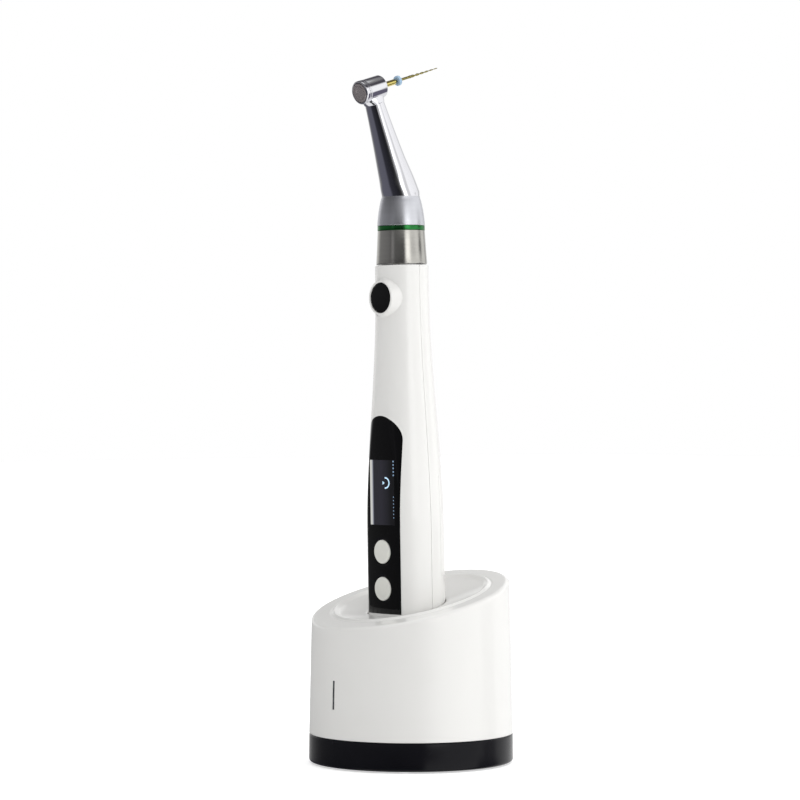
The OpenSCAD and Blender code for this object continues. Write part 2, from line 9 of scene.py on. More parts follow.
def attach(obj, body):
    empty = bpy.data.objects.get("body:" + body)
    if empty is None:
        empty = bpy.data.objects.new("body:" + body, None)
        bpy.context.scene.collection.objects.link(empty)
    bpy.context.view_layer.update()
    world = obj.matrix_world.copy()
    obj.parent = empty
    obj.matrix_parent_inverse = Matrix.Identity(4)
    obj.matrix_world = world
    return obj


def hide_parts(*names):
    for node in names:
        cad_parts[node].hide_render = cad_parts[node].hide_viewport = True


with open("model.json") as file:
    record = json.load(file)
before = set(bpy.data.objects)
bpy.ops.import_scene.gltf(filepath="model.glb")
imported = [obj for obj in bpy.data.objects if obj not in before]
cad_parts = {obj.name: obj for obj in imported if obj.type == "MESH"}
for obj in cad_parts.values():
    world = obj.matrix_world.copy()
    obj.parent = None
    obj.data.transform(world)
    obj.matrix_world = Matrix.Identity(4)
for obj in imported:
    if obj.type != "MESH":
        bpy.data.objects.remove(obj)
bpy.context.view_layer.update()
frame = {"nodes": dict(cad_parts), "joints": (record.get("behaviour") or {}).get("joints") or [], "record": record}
MM = 0.001

# ---- placing frames ------------------------------------------------------------------------
# The joints say how the handpiece, the neck and the head lie.
JOINTS = {j["name"]: j for j in frame["joints"]}


def axis_of(joint):
    return Vector(JOINTS[joint]["axis"]).normalized()


def frame_matrix(origin, up):
    """Matrix whose Z is up and whose X is the world's, for an axis that lies in the YZ plane."""
    x = Vector((1, 0, 0))
    y = up.cross(x).normalized()
    m = Matrix((x, y, up)).transposed().to_4x4()
    m.translation = origin
    return m


HANDLE_AXIS = axis_of("handpiece_lift")
NECK_AXIS = axis_of("neck_shaft_spin")
HEAD_AXIS = axis_of("spindle_spin")
BEND_POINT = Vector(JOINTS["neck_shaft_spin"]["pos_m"])
CROSS_POINT = Vector(JOINTS["spindle_spin"]["pos_m"])
BEND_S = 195.1
HEAD_CROSS = 6.45
SEAT = BEND_POINT - HANDLE_AXIS * BEND_S * MM
HANDLE = frame_matrix(SEAT, HANDLE_AXIS)
HEAD = frame_matrix(CROSS_POINT - HEAD_AXIS * HEAD_CROSS * MM, HEAD_AXIS)
WORLD = Matrix.Identity(4)
WELD_GAP = 2e-6
BEVEL_ANGLE = math.radians(40)
SHARP = 35

# ---- mesh helpers ----------------------------------------------------------------------------


def new_piece(name, verts, faces, material, body, matrix=WORLD, stands_for=(), sharp=SHARP):
    """Makes a mesh from millimetre points given in a placing frame, and hangs it on a CAD body."""
    mesh = bpy.data.meshes.new(name)
    mesh.from_pydata([matrix @ (Vector(v) * MM) for v in verts], [], faces)
    mesh.validate()
    obj = bpy.data.objects.new(name, mesh)
    bpy.context.scene.collection.objects.link(obj)
    mesh.materials.append(material)
    weld(obj)
    smooth(obj, sharp)
    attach(obj, body)
    if stands_for:
        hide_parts(*stands_for)
    return obj


def weld(obj):
    bm = bmesh.new()
    bm.from_mesh(obj.data)
    bmesh.ops.remove_doubles(bm, verts=bm.verts, dist=WELD_GAP)
    bmesh.ops.dissolve_degenerate(bm, edges=bm.edges, dist=WELD_GAP)
    bmesh.ops.recalc_face_normals(bm, faces=bm.faces)
    bm.to_mesh(obj.data)
    bm.free()


def smooth(obj, angle):
    obj.data.shade_smooth()
    obj.data.set_sharp_from_angle(angle=math.radians(angle))


def apply_modifiers(obj):
    depsgraph = bpy.context.evaluated_depsgraph_get()
    mesh = bpy.data.meshes.new_from_object(obj.evaluated_get(depsgraph))
    obj.modifiers.clear()
    obj.data = mesh
    smooth(obj, SHARP)


def bevel(obj, width, segments):
    m = obj.modifiers.new("bevel", "BEVEL")
    m.width = width * MM
    m.segments = segments
    m.limit_method = "ANGLE"
    m.angle_limit = BEVEL_ANGLE
    m.harden_normals = True


def thicken(obj, thickness):
    m = obj.modifiers.new("wall", "SOLIDIFY")
    m.thickness = thickness * MM
    m.offset = -1
    m.use_even_offset = True


def cut(obj, *cutters):
    """Cuts closed helper meshes out of a piece, then throws the helpers away."""
    for c in cutters:
        m = obj.modifiers.new("cut", "BOOLEAN")
        m.operation = "DIFFERENCE"
        m.solver = "EXACT"
        m.object = c
    apply_modifiers(obj)
    for c in cutters:
        bpy.data.objects.remove(c)


def tool_mesh(verts, faces, matrix):
    """A closed helper mesh for cut()."""
    mesh = bpy.data.meshes.new("tool")
    mesh.from_pydata([matrix @ (Vector(v) * MM) for v in verts], [], faces)
    obj = bpy.data.objects.new("tool", mesh)
    bpy.context.scene.collection.objects.link(obj)
    weld(obj)
    return obj


def wrapped_faces(around, count):
    """Quads between closed sections of count points, set side by side round an axis."""
    faces = []
    for k in range(around):
        here, there = k * count, (k + 1) % around * count
        for i in range(count):
            j = (i + 1) % count
            faces.append((here + i, there + i, there + j, here + j))
    return faces


def circle(radius, height, around):
    """Ring of points about Z."""
    angles = [2 * math.pi * k / around for k in range(around)]
    return [(radius * math.cos(a), radius * math.sin(a), height) for a in angles]


def revolve(profile, segments):
    """Points and faces of a closed (radius, height) outline turned about Z."""
    verts = []
    for k in range(segments):
        a = 2 * math.pi * k / segments
        verts += [(r * math.cos(a), r * math.sin(a), z) for r, z in profile]
    return verts, wrapped_faces(segments, len(profile))


def lathe(name, profile, material, body, matrix=WORLD, stands_for=(), segments=128,
          sharp=SHARP):
    verts, faces = revolve(profile, segments)
    return new_piece(name, verts, faces, material, body, matrix, stands_for, sharp)


def rod_tool(radius, z0, z1, matrix, segments=96):
    return tool_mesh(*revolve([(0, z0), (radius, z0), (radius, z1), (0, z1)], segments), matrix)


def box_tool(x, y, z, matrix=WORLD):
    """Box between pairs of limits."""
    verts = [(a, b, c) for a in x for b in y for c in z]
    faces = [(0, 1, 3, 2), (4, 6, 7, 5), (0, 4, 5, 1), (2, 3, 7, 6), (0, 2, 6, 4), (1, 5, 7, 3)]
    return tool_mesh(verts, faces, matrix)


def rounded(points, radii, steps=4):
    """Closed outline whose corners are turned to arcs; radii holds one radius for each point."""
    out = []
    n = len(points)
    for i, (point, radius) in enumerate(zip(points, radii)):
        p = Vector(point)
        a, b = Vector(points[i - 1]) - p, Vector(points[(i + 1) % n]) - p
        if radius <= 0 or a.length < 1e-9 or b.length < 1e-9:
            out.append(tuple(p))
            continue
        out += [tuple(q) for q in fillet(p, a.normalized(), b.normalized(), radius, steps)]
    return out


def fillet(corner, d1, d2, radius, steps):
    """Arc that rounds a corner between two unit directions leading away from it."""
    angle = math.acos(max(-1, min(1, d1.dot(d2))))
    if angle > math.radians(179):
        return [corner]
    setback = radius / math.tan(angle / 2)
    middle = (d1 + d2).normalized()
    centre = corner + middle * (radius / math.sin(angle / 2))
    start, end = corner + d1 * setback - centre, corner + d2 * setback - centre
    turn = math.pi - angle
    out = []
    for k in range(steps + 1):
        t = k / steps
        a, b = math.sin((1 - t) * turn) / math.sin(turn), math.sin(t * turn) / math.sin(turn)
        out.append(centre + start * a + end * b)
    return out


def grid_faces(rows, columns, first=0):
    """Quads of a grid of points stored row by row."""
    return [
        (first + i * columns + j, first + i * columns + j + 1,
         first + (i + 1) * columns + j + 1, first + (i + 1) * columns + j)
        for i in range(rows - 1) for j in range(columns - 1)
    ]


def ease(t):
    t = min(1, max(0, t))
    return t * t * (3 - 2 * t)


def spread(start, end, count):
    return [start + (end - start) * i / (count - 1) for i in range(count)]


# ---- materials ---------------------------------------------------------------------------------


def setup(node, **values):
    """Sets a node's inputs by name. An underscore stands for a space."""
    for name, value in values.items():
        node.inputs[name.replace("_", " ")].default_value = value
    return node


def material(name, colour, roughness, metallic=0.0, coat=0.0, grain=40.0, tint=0.03, rough_vary=0.06,
             bump=0.02, bump_scale=900.0, stretch=(1, 1, 1), wear=0.0, specular=0.5, anisotropy=0.0,
             subsurface=0.0):
    """Principled material with its own colour drift, smudges, micro relief and brighter worn edges."""
    mat = bpy.data.materials.new(name)
    mat.use_nodes = True
    nodes, links = mat.node_tree.nodes, mat.node_tree.links
    shader = setup(nodes["Principled BSDF"], Metallic=metallic, Coat_Weight=coat, Coat_Roughness=0.04,
                   Specular_IOR_Level=specular, Anisotropic=anisotropy)
    if subsurface:
        setup(shader, Subsurface_Weight=subsurface, Subsurface_Radius=(0.002, 0.002, 0.0015),
              Subsurface_Scale=1.0)
    coords = nodes.new("ShaderNodeTexCoord")
    mapping = setup(nodes.new("ShaderNodeMapping"), Scale=stretch)
    links.new(coords.outputs["Object"], mapping.inputs["Vector"])

    def noise(scale, detail):
        n = setup(nodes.new("ShaderNodeTexNoise"), Scale=scale, Detail=detail)
        links.new(mapping.outputs["Vector"], n.inputs["Vector"])
        return n

    def remap(source, low, high):
        m = setup(nodes.new("ShaderNodeMapRange"), From_Min=0.3, From_Max=0.7, To_Min=low, To_Max=high)
        links.new(source, m.inputs["Value"])
        return m.outputs["Result"]

    drift = noise(grain, 4)
    mix = nodes.new("ShaderNodeMix")
    mix.data_type = "RGBA"
    setup(mix, A=(*[c * (1 - tint) for c in colour], 1), B=(*[min(1, c * (1 + tint)) for c in colour], 1))
    links.new(remap(drift.outputs["Fac"], 0, 1), mix.inputs["Factor"])
    colour_out = mix.outputs["Result"]
    if wear:
        edge = nodes.new("ShaderNodeNewGeometry")
        worn = setup(nodes.new("ShaderNodeMapRange"), From_Min=0.52, From_Max=0.62, To_Max=wear)
        links.new(edge.outputs["Pointiness"], worn.inputs["Value"])
        lift = nodes.new("ShaderNodeMix")
        lift.data_type = "RGBA"
        setup(lift, B=(*[min(1, c * 1.6 + 0.03) for c in colour], 1))
        links.new(worn.outputs["Result"], lift.inputs["Factor"])
        links.new(colour_out, lift.inputs["A"])
        colour_out = lift.outputs["Result"]
    links.new(colour_out, shader.inputs["Base Color"])
    smudge = noise(grain * 2.3, 6)
    links.new(remap(smudge.outputs["Fac"], max(0.02, roughness - rough_vary), roughness + rough_vary),
              shader.inputs["Roughness"])
    relief = noise(bump_scale, 3)
    bump_node = setup(nodes.new("ShaderNodeBump"), Strength=bump, Distance=0.0002)
    links.new(relief.outputs["Fac"], bump_node.inputs["Height"])
    links.new(bump_node.outputs["Normal"], shader.inputs["Normal"])
    return mat


def turned(mat, spacing, strength):
    """Adds the fine rings that a lathe leaves round the object's Z."""
    nodes, links = mat.node_tree.nodes, mat.node_tree.links
    coords = nodes.new("ShaderNodeTexCoord")
    wave = setup(nodes.new("ShaderNodeTexWave"), Scale=spacing, Distortion=1.2, Detail=3)
    wave.wave_type = "BANDS"
    wave.bands_direction = "Z"
    links.new(coords.outputs["Object"], wave.inputs["Vector"])
    bump_node = setup(nodes.new("ShaderNodeBump"), Strength=strength, Distance=0.0001)
    links.new(wave.outputs["Fac"], bump_node.inputs["Height"])
    last = next(n for n in nodes if n.type == "BUMP" and n != bump_node)
    links.new(last.outputs["Normal"], bump_node.inputs["Normal"])
    links.new(bump_node.outputs["Normal"], nodes["Principled BSDF"].inputs["Normal"])
    return mat


def glowing(mat, colour, strength):
    setup(mat.node_tree.nodes["Principled BSDF"], Emission_Color=(*colour, 1), Emission_Strength=strength)
    return mat


def paint_light_across(mat, stops):
    """Lets a material glow by its distance from the object's middle plane, in millimetres, painting light and
    shade across it.
    """
    nodes, links = mat.node_tree.nodes, mat.node_tree.links
    span = 20
    coords = nodes.new("ShaderNodeTexCoord")
    split = nodes.new("ShaderNodeSeparateXYZ")
    links.new(coords.outputs["Object"], split.inputs["Vector"])
    place = setup(nodes.new("ShaderNodeMapRange"), From_Min=-span / 2 * MM, From_Max=span / 2 * MM)
    links.new(split.outputs["X"], place.inputs["Value"])
    ramp = nodes.new("ShaderNodeValToRGB")
    while len(ramp.color_ramp.elements) < len(stops):
        ramp.color_ramp.elements.new(0.5)
    for e, (x, colour) in zip(ramp.color_ramp.elements, stops):
        e.position = 0.5 + x / span
        e.color = (*colour, 1)
    links.new(place.outputs["Result"], ramp.inputs["Fac"])
    shader = setup(nodes["Principled BSDF"], Emission_Strength=1.0)
    links.new(ramp.outputs["Color"], shader.inputs["Emission Color"])
    return mat


WHITE = material("white_plastic", (0.80, 0.795, 0.775), 0.30, coat=0.7, grain=30, tint=0.008,
                 rough_vary=0.008, bump=0.004, bump_scale=1400)
BLACK = material("black_plastic", (0.006, 0.006, 0.008), 0.14, grain=60, tint=0.1, rough_vary=0.05,
                 bump=0.02, wear=0.2, specular=0.13)
WINDOW = material("window_black", (0.0025, 0.0025, 0.003), 0.06, grain=25, tint=0.05, rough_vary=0.02,
                  bump=0.004, bump_scale=500, specular=0.2)
KEY = material("key_plastic", (0.74, 0.74, 0.69), 0.38, grain=120, tint=0.015, rough_vary=0.05, bump=0.05,
               bump_scale=2600, wear=0.12)
BUTTON = material("button_black", (0.002, 0.002, 0.0025), 0.2, grain=150, tint=0.1, rough_vary=0.04,
                  bump=0.02, bump_scale=2600, wear=0.2, specular=0.2)
COLLAR = turned(material("collar_steel", (0.47, 0.46, 0.43), 0.1, metallic=1, grain=60, tint=0.03,
                         rough_vary=0.015, bump=0.04, bump_scale=500, stretch=(1, 1, 14), anisotropy=0.4),
                2600, 0.045)
GREEN = material("green_anodised", (0.03, 0.19, 0.05), 0.2, metallic=1, grain=90, tint=0.05, rough_vary=0.04,
                 bump=0.03, wear=0.3)
SATIN = turned(material("satin_steel", (0.68, 0.69, 0.73), 0.32, metallic=1, grain=60, tint=0.03,
                        rough_vary=0.03, bump=0.01, bump_scale=700, stretch=(1, 1, 9)), 3200, 0.03)
POLISHED = material("polished_steel", (0.76, 0.76, 0.79), 0.07, metallic=1, grain=45, tint=0.02,
                    rough_vary=0.03, bump=0.008, bump_scale=600)
CAP = material("cap_grey", (0.36, 0.325, 0.325), 0.28, metallic=0.6, grain=200, tint=0.04, rough_vary=0.03,
               bump=0.01, bump_scale=1500)
GOLD = material("gold_plate", (0.76, 0.64, 0.20), 0.14, metallic=1, grain=200, tint=0.05, rough_vary=0.05,
                bump=0.02, bump_scale=3000)
FILE = material("heat_treated_nickel_titanium", (0.40, 0.35, 0.12), 0.2, metallic=1, grain=900, tint=0.28,
                rough_vary=0.08, bump=0.06, bump_scale=5000)
SILICONE = material("stop_silicone", (0.34, 0.48, 0.64), 0.42, grain=300, tint=0.03, rough_vary=0.06,
                    bump=0.06, bump_scale=4000, subsurface=0.3)
STEEL = material("machined_steel", (0.52, 0.52, 0.53), 0.3, metallic=1, grain=200, tint=0.05, rough_vary=0.08,
                 bump=0.06, bump_scale=2000, wear=0.3)
BRASS = material("machined_brass", (0.72, 0.52, 0.22), 0.3, metallic=1, grain=200, tint=0.06, rough_vary=0.08,
                 bump=0.06, bump_scale=2000, wear=0.3)
BOARD = material("board_green", (0.02, 0.12, 0.045), 0.42, grain=250, tint=0.15, rough_vary=0.08, bump=0.1,
                 bump_scale=1800)
MOULDED = material("moulded_black", (0.02, 0.02, 0.021), 0.5, grain=200, tint=0.1, rough_vary=0.08, bump=0.1,
                   bump_scale=2500, wear=0.2)
WRAP = material("cell_wrap", (0.04, 0.13, 0.32), 0.35, grain=80, tint=0.06, rough_vary=0.08, bump=0.06,
                bump_scale=700)
RUBBER = material("soft_rubber", (0.018, 0.018, 0.018), 0.75, grain=250, tint=0.12, rough_vary=0.1, bump=0.15,
                  bump_scale=2500)
PIPE = material("light_pipe", (0.06, 0.062, 0.068), 0.25, grain=150, tint=0.08, rough_vary=0.05, bump=0.03)
# LCD glass: glows with a painted reflection, a bright band near the window's left edge, and fades darker towards
# the right.
LCD = paint_light_across(material("lcd_glass_painted_reflection", (0.010, 0.010, 0.012), 0.1, grain=60, tint=0.06, rough_vary=0.03,
                      bump=0.004, specular=0.2),
             [(-7.9, (0.10, 0.10, 0.10)), (-7.7, (0.62, 0.62, 0.58)), (-6.2, (0.55, 0.55, 0.54)),
              (-5.4, (0.14, 0.15, 0.2)), (-4.9, (0.015, 0.015, 0.020)), (0, (0.017, 0.016, 0.023)),
              (3.6, (0.008, 0.008, 0.011)), (5.6, (0.001, 0.001, 0.001))])
ICON = glowing(material("lcd_icon", (0.45, 0.62, 0.75), 0.4, tint=0.05), (0.42, 0.66, 0.85), 0.55)
DOTS = glowing(material("lcd_dots", (0.2, 0.3, 0.42), 0.4, tint=0.05), (0.2, 0.32, 0.5), 0.35)

SLOT_MATERIAL = {
    "white_shell": WHITE, "black_trim": BLACK, "display_window": WINDOW, "lcd": LCD, "key_plastic": KEY,
    "button_black": BUTTON, "collar_steel": COLLAR, "green_anodised": GREEN, "head_steel": POLISHED,
    "cap_grey": CAP, "gold_shank": GOLD, "file_niti": FILE, "stop_silicone": SILICONE,
    "inner_steel": STEEL, "inner_brass": BRASS, "board": BOARD, "inner_black": MOULDED, "cell_wrap": WRAP,
    "soft_rubber": RUBBER, "light_pipe": PIPE, "contact_gold": GOLD,
}


def dress_cad_nodes():
    """Gives every CAD node the procedural material of its slot."""
    for part in frame["record"]["subparts"]:
        obj = frame["nodes"][part["node"]]
        obj.data.materials.clear()
        obj.data.materials.append(SLOT_MATERIAL[part["material_slot"]])


# ---- handle surface --------------------------------------------------------------------------------
HANDLE_LEN = 166.6
FOOT_R = 16.05
TOP_R = 11.15
TAPER = (54, 156)
CROWN_R = 54
CROWN_FRONT = 13.1
CROWN_CENTRE = CROWN_R - CROWN_FRONT
WALL = 1.8
SEAM = math.radians(0.38)
FOOT_EDGE = 1.0
TOP_EDGE = 0.6


def handle_r(s):
    return FOOT_R - (FOOT_R - TOP_R) * ease((s - TAPER[0]) / (TAPER[1] - TAPER[0]))


def soft_min(a, b, k):
    h = max(k - abs(a - b), 0) / k
    return min(a, b) - h * h * k / 4


def reach(theta, s, inset=0.0):
    """Distance from the handle's axis to its surface; theta is 0 at the front and pi at the back."""
    r = handle_r(s) - inset
    for distance, edge in ((s - inset, FOOT_EDGE), (HANDLE_LEN - s, TOP_EDGE)):
        if distance < edge:
            r -= edge - math.sqrt(max(0, edge * edge - (edge - distance) ** 2))
    c = math.cos(theta)
    root = CROWN_CENTRE ** 2 * (c * c - 1) + (CROWN_R - inset) ** 2
    crown = math.sqrt(root) - CROWN_CENTRE * c
    return soft_min(r, crown, 0.25)


def surface(theta, s, inset=0.0):
    r = reach(theta, s, inset)
    return (r * math.sin(theta), -r * math.cos(theta), s)


def theta_at_x(x, s, back=False):
    """Angle from the front, or from the back, at which the surface is x away from the middle plane."""
    low, high = 0.0, math.pi / 2
    for _ in range(40):
        mid = (low + high) / 2
        if reach(math.pi - mid if back else mid, s) * math.sin(mid) < abs(x):
            low = mid
        else:
            high = mid
    return math.copysign(low, x)


def facing_front(s):
    """Frame at the handle's axis whose +Z points out of the display side, at a height."""
    return HANDLE @ Matrix.Translation(Vector((0, 0, s * MM))) @ Matrix.Rotation(math.pi / 2, 4, "X")


# ---- handle pieces -----------------------------------------------------------------------------------
PANEL_HALF = 10.4
PANEL_LOW = 22.5
PANEL_TOP = 104.4
PANEL_ARCH = PANEL_TOP - PANEL_HALF
DOOR_LOW = 38
DOOR_ARCH = 73
DOOR_HALF = 15.2
DOOR_PLANE = 6.1
DOOR_TOP = DOOR_ARCH + DOOR_HALF
KEY_R = 4.9
SELECT_S = 48.2
SET_S = 32.9
START_S = 153.1
BOSS_FRONT = 12.2
BOSS_BORE = 7.15
KEY_GAP = 0.14
PANEL_THICKNESS = 1.1
EDGE_ROUND = 0.16
PAD_X = 5
PAD_Y = 5
PAD_HOLE_R = 2.15


def arch_rows(start, end, count):
    """Heights that crowd together towards the arch's top, where its outline turns level."""
    return [start + (end - start) * math.sin(math.pi / 2 * i / count) for i in range(1, count + 1)]


def panel_edge(s):
    """Angle of the panel's side at a height, from the front."""
    if s >= PANEL_TOP - 1e-6:
        return 0.0
    half = PANEL_HALF if s <= PANEL_ARCH else math.sqrt(max(0, PANEL_HALF ** 2 - (s - PANEL_ARCH) ** 2))
    return theta_at_x(half, s)


def door_edge(s):
    """Angle of the battery door's side at a height, from the back."""
    if s >= DOOR_TOP - 1e-6:
        return 0.0
    side = math.acos(DOOR_PLANE / reach(math.pi / 2 + 0.4, s))
    if s <= DOOR_ARCH:
        return side
    half = math.sqrt(max(0, DOOR_HALF ** 2 - (s - DOOR_ARCH) ** 2))
    return min(side, theta_at_x(half, s, True)) if half < reach(math.pi * 0.75, s) else side


def shell_rows(low, arch, top):
    """Heights of a shell's rows, with the opening's limits among them."""
    rows = [0.0, 0.15, 0.45, 0.8, 1.3]
    rows += spread(1.3, low, 8)[1:]
    rows += spread(low, arch, 24)[1:]
    rows += arch_rows(arch, top, 16)
    rows += spread(top, HANDLE_LEN - 0.9, 30)[1:]
    return rows + [HANDLE_LEN - f for f in (0.6, 0.35, 0.15, 0.04, 0.0)]


def half_shell(name, edge, rows, low, top, back, stands_for):
    """One half of the handle, front or back, with an arched opening between two heights."""
    outer, inner = 26, 12
    limit = math.pi / 2 - SEAM
    verts, faces = [], []

    def point(angle, s):
        return surface(math.pi - angle if back else angle, s)

    for side in (-1, 1):
        first = len(verts)
        for s in rows:
            e = edge(max(s, low)) if s < top else 0.0
            verts += [point(side * (e + (limit - e) * (j / outer) ** 1.15), s) for j in range(outer + 1)]
        faces += grid_faces(len(rows), outer + 1, first)
    chin = [s for s in rows if s <= low + 1e-6]
    first = len(verts)
    e = edge(low)
    for s in chin:
        verts += [point(a, s) for a in spread(-e, e, inner)]
    faces += grid_faces(len(chin), inner, first)
    obj = new_piece(name, verts, faces, WHITE, "handle", HANDLE, stands_for)
    outward(obj)
    thicken(obj, WALL)
    return obj


def outward(obj):
    """Turns an open sheet's faces away from the handle's axis."""
    bm = bmesh.new()
    bm.from_mesh(obj.data)
    inverse = HANDLE.inverted()
    total = 0.0
    for f in bm.faces:
        c = inverse @ f.calc_center_median()
        total += f.normal.dot(HANDLE.to_3x3() @ Vector((c.x, c.y, 0)).normalized())
    if total < 0:
        bmesh.ops.reverse_faces(bm, faces=bm.faces)
    bm.to_mesh(obj.data)
    bm.free()


def make_front_shell():
    rows = shell_rows(PANEL_LOW, PANEL_ARCH, PANEL_TOP)
    shell = half_shell("front_casing", panel_edge, rows, PANEL_LOW, PANEL_TOP, False, ("front_shell",))
    cut(shell, rod_tool(BOSS_BORE, 6, 14, facing_front(START_S)))
    bevel(shell, EDGE_ROUND, 3)
    apply_modifiers(shell)


def make_rear_shell():
    rows = shell_rows(DOOR_LOW, DOOR_ARCH, DOOR_TOP)
    shell = half_shell("rear_casing", door_edge, rows, DOOR_LOW, DOOR_TOP, True, ("rear_shell",))
    bevel(shell, EDGE_ROUND, 3)
    apply_modifiers(shell)


def arched_sheet(name, half_width, rows, mat, body, back, thickness, gap, stands_for):
    """A sheet on the handle's surface whose half angle at each height comes from half_width."""
    columns = 28
    verts = []
    for s in rows:
        e = max(0.0, half_width(s) - gap)
        for a in spread(-e, e, columns):
            verts.append(surface(math.pi - a if back else a, s))
    obj = new_piece(name, verts, grid_faces(len(rows), columns), mat, body, HANDLE, stands_for)
    outward(obj)
    thicken(obj, thickness)
    apply_modifiers(obj)
    return obj


def make_panel():
    gap = 0.006
    rows = spread(PANEL_LOW + 0.06, PANEL_ARCH, 30) + arch_rows(PANEL_ARCH, PANEL_TOP - 0.06, 18)
    panel = arched_sheet("display_window", panel_edge, rows, WINDOW, "handle", False,
                         PANEL_THICKNESS, gap, ("display_panel",))
    cut(panel, *[rod_tool(KEY_R + KEY_GAP, 5, 20, facing_front(s)) for s in (SELECT_S, SET_S)])
    bevel(panel, 0.1, 2)
    apply_modifiers(panel)


def make_door():
    gap = 0.007
    rows = spread(DOOR_LOW + 0.08, DOOR_ARCH, 24) + arch_rows(DOOR_ARCH, DOOR_TOP - 0.08, 18)
    door = arched_sheet("battery_door", door_edge, rows, WHITE, "battery_door", True,
                        WALL, gap, ("battery_cover",))
    bevel(door, EDGE_ROUND, 3)
    apply_modifiers(door)


def make_handle_foot():
    profile = rounded([(0, 0.12), (14.1, 0.12), (14.1, 1.6), (0, 1.6)], [0, 0.3, 0.3, 0])
    foot = lathe("handle_foot", profile, WHITE, "handle", HANDLE)
    pads = [HANDLE @ Matrix.Translation(Vector((x, PAD_Y, 0)) * MM) for x in (-PAD_X, PAD_X)]
    front = box_tool((-16, 16), (-20, -12.4), (-1, 3), HANDLE)
    cut(foot, *[rod_tool(PAD_HOLE_R, -1, 3, pad) for pad in pads], front)


def make_bezel():
    """Raised white ring round the start button, flared into the handle."""
    bore, crest, base = 6.32, 7.25, 8.55
    around, verts = 160, []
    profile_steps = 10
    for k in range(around):
        a = 2 * math.pi * k / around
        ring = [(bore, 9.6), (bore, BOSS_FRONT - 0.3)]
        ring += [(bore + 0.3 - 0.3 * math.cos(t), BOSS_FRONT - 0.3 + 0.3 * math.sin(t))
                 for t in spread(0.35, math.pi / 2, 4)]
        ring += [(crest - 0.45 + 0.45 * math.sin(t), BOSS_FRONT - 0.45 + 0.45 * math.cos(t))
                 for t in spread(0, 1.15, 6)]
        start_r, start_d = ring[-1]
        for j in range(1, profile_steps + 1):
            t = j / profile_steps
            r = start_r + (base - start_r) * t
            x, s = r * math.cos(a), START_S + r * math.sin(a)
            skin = math.sqrt(max(0.2, reach(0, s) ** 2 - x * x))
            flare = (1 - t) ** 1.5
            ring.append((r, skin - 0.06 + (start_d - skin + 0.06) * flare))
        x, s = base * math.cos(a), START_S + base * math.sin(a)
        ring.append((base - 0.6, math.sqrt(max(0.2, reach(0, s) ** 2 - x * x)) - 1.1))
        verts += [(r * math.cos(a), r * math.sin(a), d) for r, d in ring]
    faces = wrapped_faces(around, len(ring))
    new_piece("start_bezel", verts, faces, WHITE, "handle", facing_front(START_S))


def make_buttons():
    start = rounded([(0, 9.8), (7.0, 9.8), (7.0, 10.3), (6.2, 10.3), (6.2, 12.06), (0, 11.95)],
                    [0, 0.15, 0.15, 0.1, 0.4, 0], 6)
    lathe("start_cap", start, BUTTON, "start_button", facing_front(START_S),
          ("start_button",))
    for name, node, s in (("select_cap", "select_key", SELECT_S), ("set_cap", "set_key", SET_S)):
        key = rounded([(0, 10.9), (5.6, 10.9), (5.6, 11.45), (KEY_R, 11.45), (KEY_R, 13.38), (0, 13.5)],
                      [0, 0.15, 0.15, 0.1, 0.35, 0], 6)
        lathe(name, key, KEY, node, facing_front(s), (node,))


def front_point(x, s, lift):
    return surface(theta_at_x(x, s) if x else 0.0, s, -lift)


def front_plate(name, outline, mat, lift, thickness, columns, rows):
    """Thin plate on the panel: outline(u, v) gives its x and height for u and v from 0 to 1."""
    verts = []
    for i in range(rows):
        for j in range(columns):
            x, s = outline(j / (columns - 1), i / (rows - 1))
            verts.append(front_point(x, s, lift))
    obj = new_piece(name, verts, grid_faces(rows, columns), mat, "handle", HANDLE)
    outward(obj)
    thicken(obj, thickness)
    apply_modifiers(obj)


DOT_X = 6.9
DOT_PITCH = 1.42
LCD_HALF = 7.5
LCD_LOW = 59.3
LCD_HIGH = 86.1
ICON_X = 2.65
ICON_S = 76.7


def make_display():
    def window(u, v):
        return (LCD_HALF * (2 * u - 1), LCD_LOW + (LCD_HIGH - LCD_LOW) * v)

    def arc(u, v):
        r = 1.8 + 0.6 * v
        a = math.radians(-100 + 200 * u)
        return (ICON_X + r * math.cos(a), ICON_S + r * math.sin(a))

    def arrow(u, v):
        return (ICON_X - 1.7 + 1.2 * v, ICON_S + (u - 0.5) * 1.5 * (1 - v) + 0.05 * v * (2 * u - 1))

    # The LCD window carries the painted reflection band of the LCD glass.
    front_plate("lcd_window", window, LCD, 0.03, 0.1, 24, 12)
    front_plate("lcd_arc", arc, ICON, 0.05, 0.04, 20, 3)
    front_plate("lcd_arrow", arrow, ICON, 0.05, 0.04, 4, 4)
    for name, start, count, size in (("lcd_scale_high", 79.6, 5, 0.62), ("lcd_scale_low", 62.2, 7, 0.42)):
        verts, faces = [], []
        for k in range(count):
            s0 = start + k * DOT_PITCH
            f = len(verts)
            corners = [(DOT_X, s0), (DOT_X + size, s0), (DOT_X + size, s0 + size), (DOT_X, s0 + size)]
            verts += [front_point(x, s, 0.05) for x, s in corners]
            verts += [front_point(x, s, 0.01) for x, s in corners]
            faces += [(f, f + 1, f + 2, f + 3), (f + 7, f + 6, f + 5, f + 4)]
            faces += [(f + i, f + 4 + i, f + 4 + (i + 1) % 4, f + (i + 1) % 4) for i in range(4)]
        new_piece(name, verts, faces, DOTS, "handle", HANDLE)


# ---- charging base -----------------------------------------------------------------------------------
BASE_R = 42.5
RIM_R = 41.2
RING_H = 12.2
SHELL_LOW = 12.35
TOP_H = 68.5
SLOPE = math.radians(14.5)
LIP_R = 32.5
DISH_DEPTH = 4.2
RIM_ROUND = 1.7
DISH_SPHERE = (LIP_R ** 2 + DISH_DEPTH ** 2) / (2 * DISH_DEPTH)
BASE_WALL = 2.2
UNDER_TOP = -6.8
SOCKET_GAP = 0.45
SOCKET_S = 30
SLIT_HALF = 0.6
SLIT_Z = (24.4, 36.2)
JACK_HALF = 4.8
JACK_Z = (16.25, 20.15)
